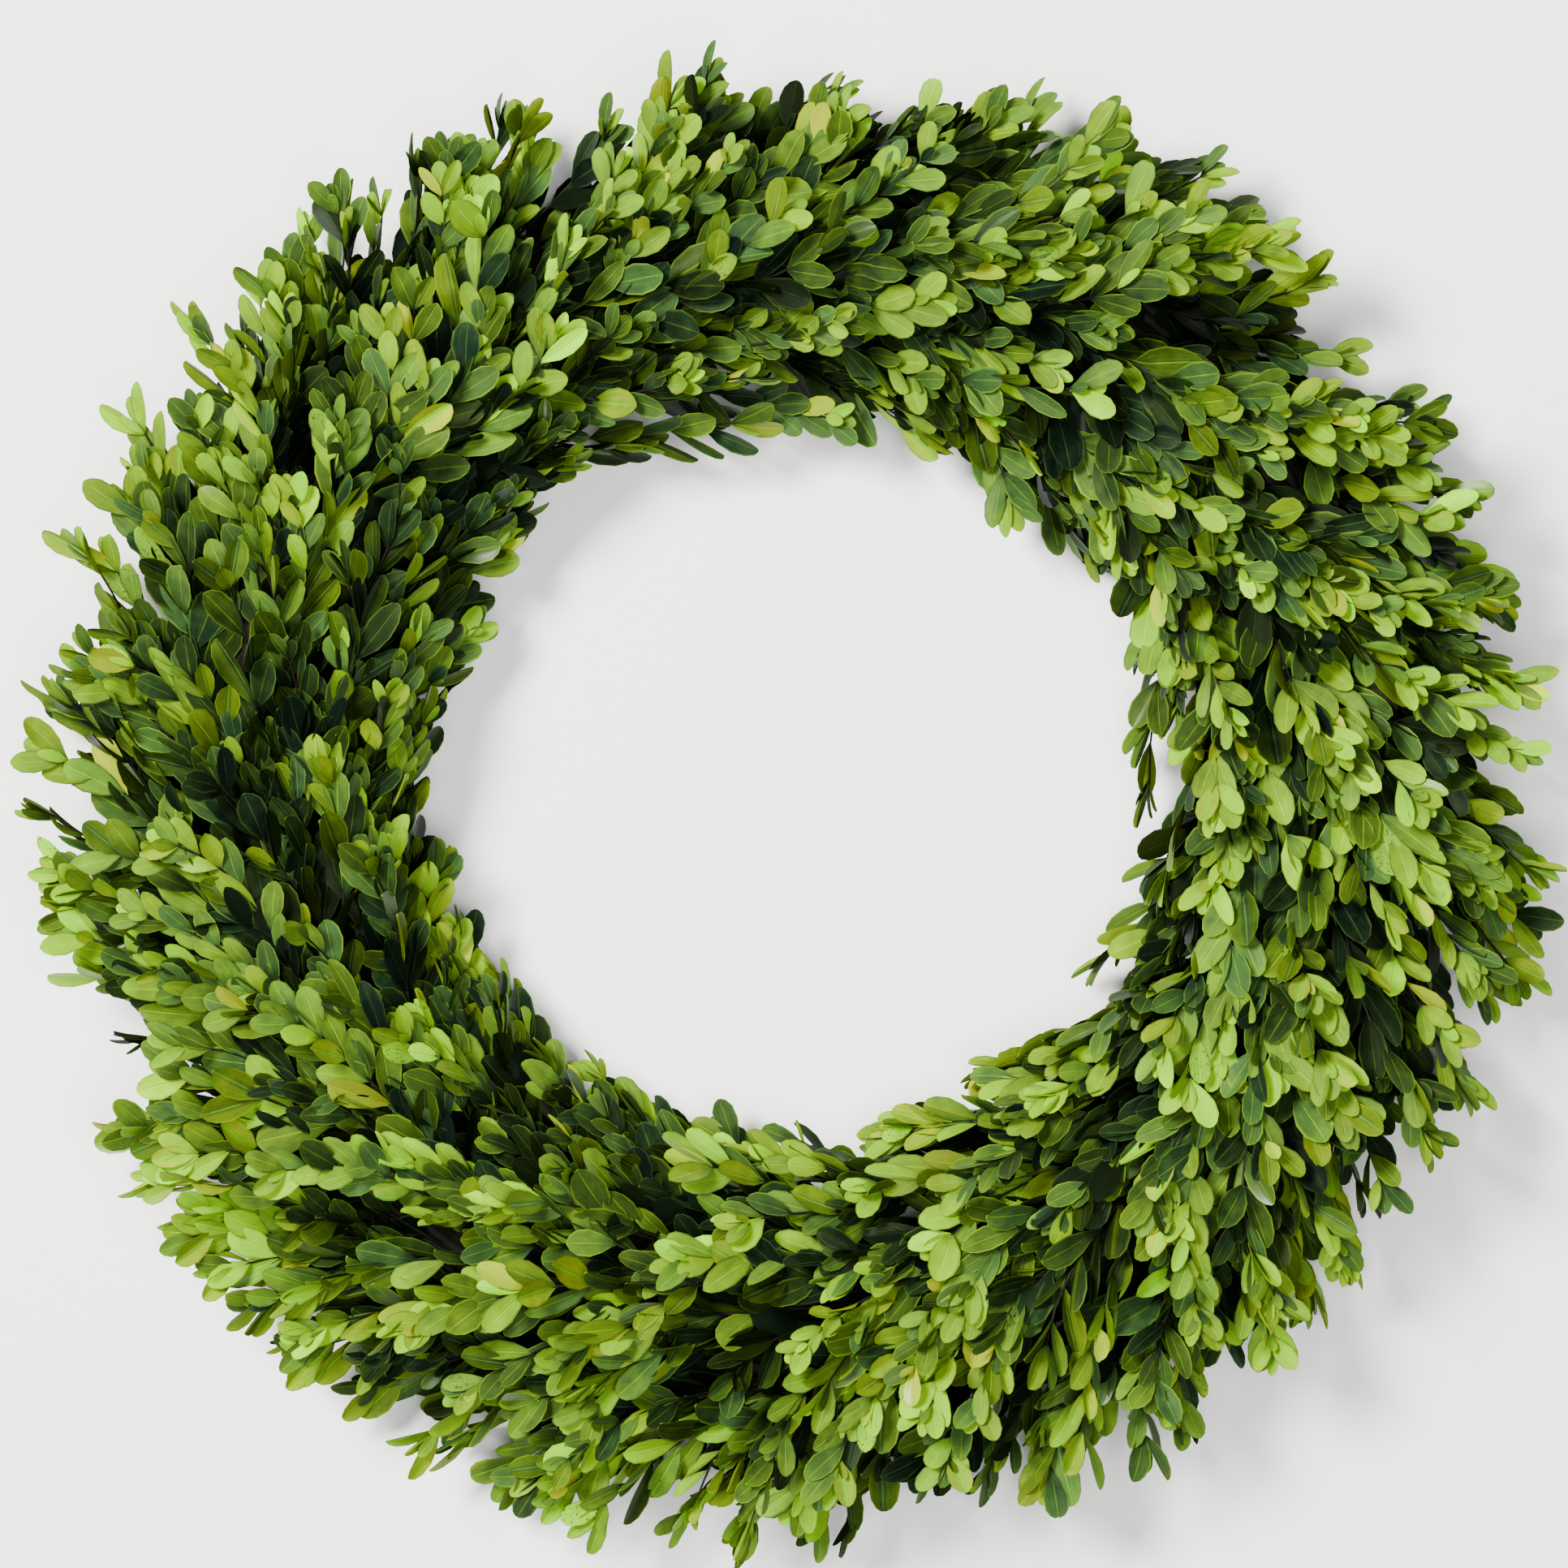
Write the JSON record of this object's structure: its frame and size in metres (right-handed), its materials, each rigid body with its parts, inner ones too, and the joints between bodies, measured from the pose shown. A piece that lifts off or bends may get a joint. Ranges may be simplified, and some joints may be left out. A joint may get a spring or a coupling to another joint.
{
  "type": "boxwood wreath",
  "caption": "Round wreath of leafy boxwood sprigs, wired in overlapping bunches on a flat steel wire ring, with a round opening in its middle.",
  "frame": {"origin": "middle of the ring, on the plane that the wire ring's cross bars stand on", "axes": "+Z out of the wreath's front, +Y towards the top of the picture, +X towards its right"},
  "size_m": [0.5549, 0.5502, 0.1132],
  "materials": {
    "boxwood": "preserved boxwood: satin leaves from deep green to yellow-green on dark brown stems",
    "ring_wire": "steel wire, dark green-black lacquer",
    "binding_wire": "florist's paddle wire, green lacquer"
  },
  "bodies": {
    "root": {"ring_frame": "ring_wire", "binding_wire": "binding_wire", "bunch_outer_01": "boxwood", "bunch_outer_02": "boxwood", "bunch_outer_03": "boxwood", "bunch_outer_04": "boxwood", "bunch_outer_05": "boxwood", "bunch_outer_06": "boxwood", "bunch_outer_07": "boxwood", "bunch_outer_08": "boxwood", "bunch_outer_09": "boxwood", "bunch_outer_10": "boxwood", "bunch_outer_11": "boxwood", "bunch_outer_12": "boxwood", "bunch_outer_13": "boxwood", "bunch_outer_14": "boxwood", "bunch_outer_15": "boxwood", "bunch_outer_16": "boxwood", "bunch_outer_17": "boxwood", "bunch_outer_18": "boxwood", "bunch_front_01": "boxwood", "bunch_front_02": "boxwood", "bunch_front_03": "boxwood", "bunch_front_04": "boxwood", "bunch_front_05": "boxwood", "bunch_front_06": "boxwood", "bunch_front_07": "boxwood", "bunch_front_08": "boxwood", "bunch_front_09": "boxwood", "bunch_front_10": "boxwood", "bunch_front_11": "boxwood", "bunch_front_12": "boxwood", "bunch_front_13": "boxwood", "bunch_front_14": "boxwood", "bunch_front_15": "boxwood", "bunch_front_16": "boxwood", "bunch_front_17": "boxwood", "bunch_front_18": "boxwood", "bunch_inner_01": "boxwood", "bunch_inner_02": "boxwood", "bunch_inner_03": "boxwood", "bunch_inner_04": "boxwood", "bunch_inner_05": "boxwood", "bunch_inner_06": "boxwood", "bunch_inner_07": "boxwood", "bunch_inner_08": "boxwood", "bunch_inner_09": "boxwood", "bunch_inner_10": "boxwood", "bunch_inner_11": "boxwood", "bunch_inner_12": "boxwood", "bunch_inner_13": "boxwood", "bunch_inner_14": "boxwood", "bunch_inner_15": "boxwood", "bunch_inner_16": "boxwood", "bunch_inner_17": "boxwood", "bunch_inner_18": "boxwood"}
  },
  "joints": []
}
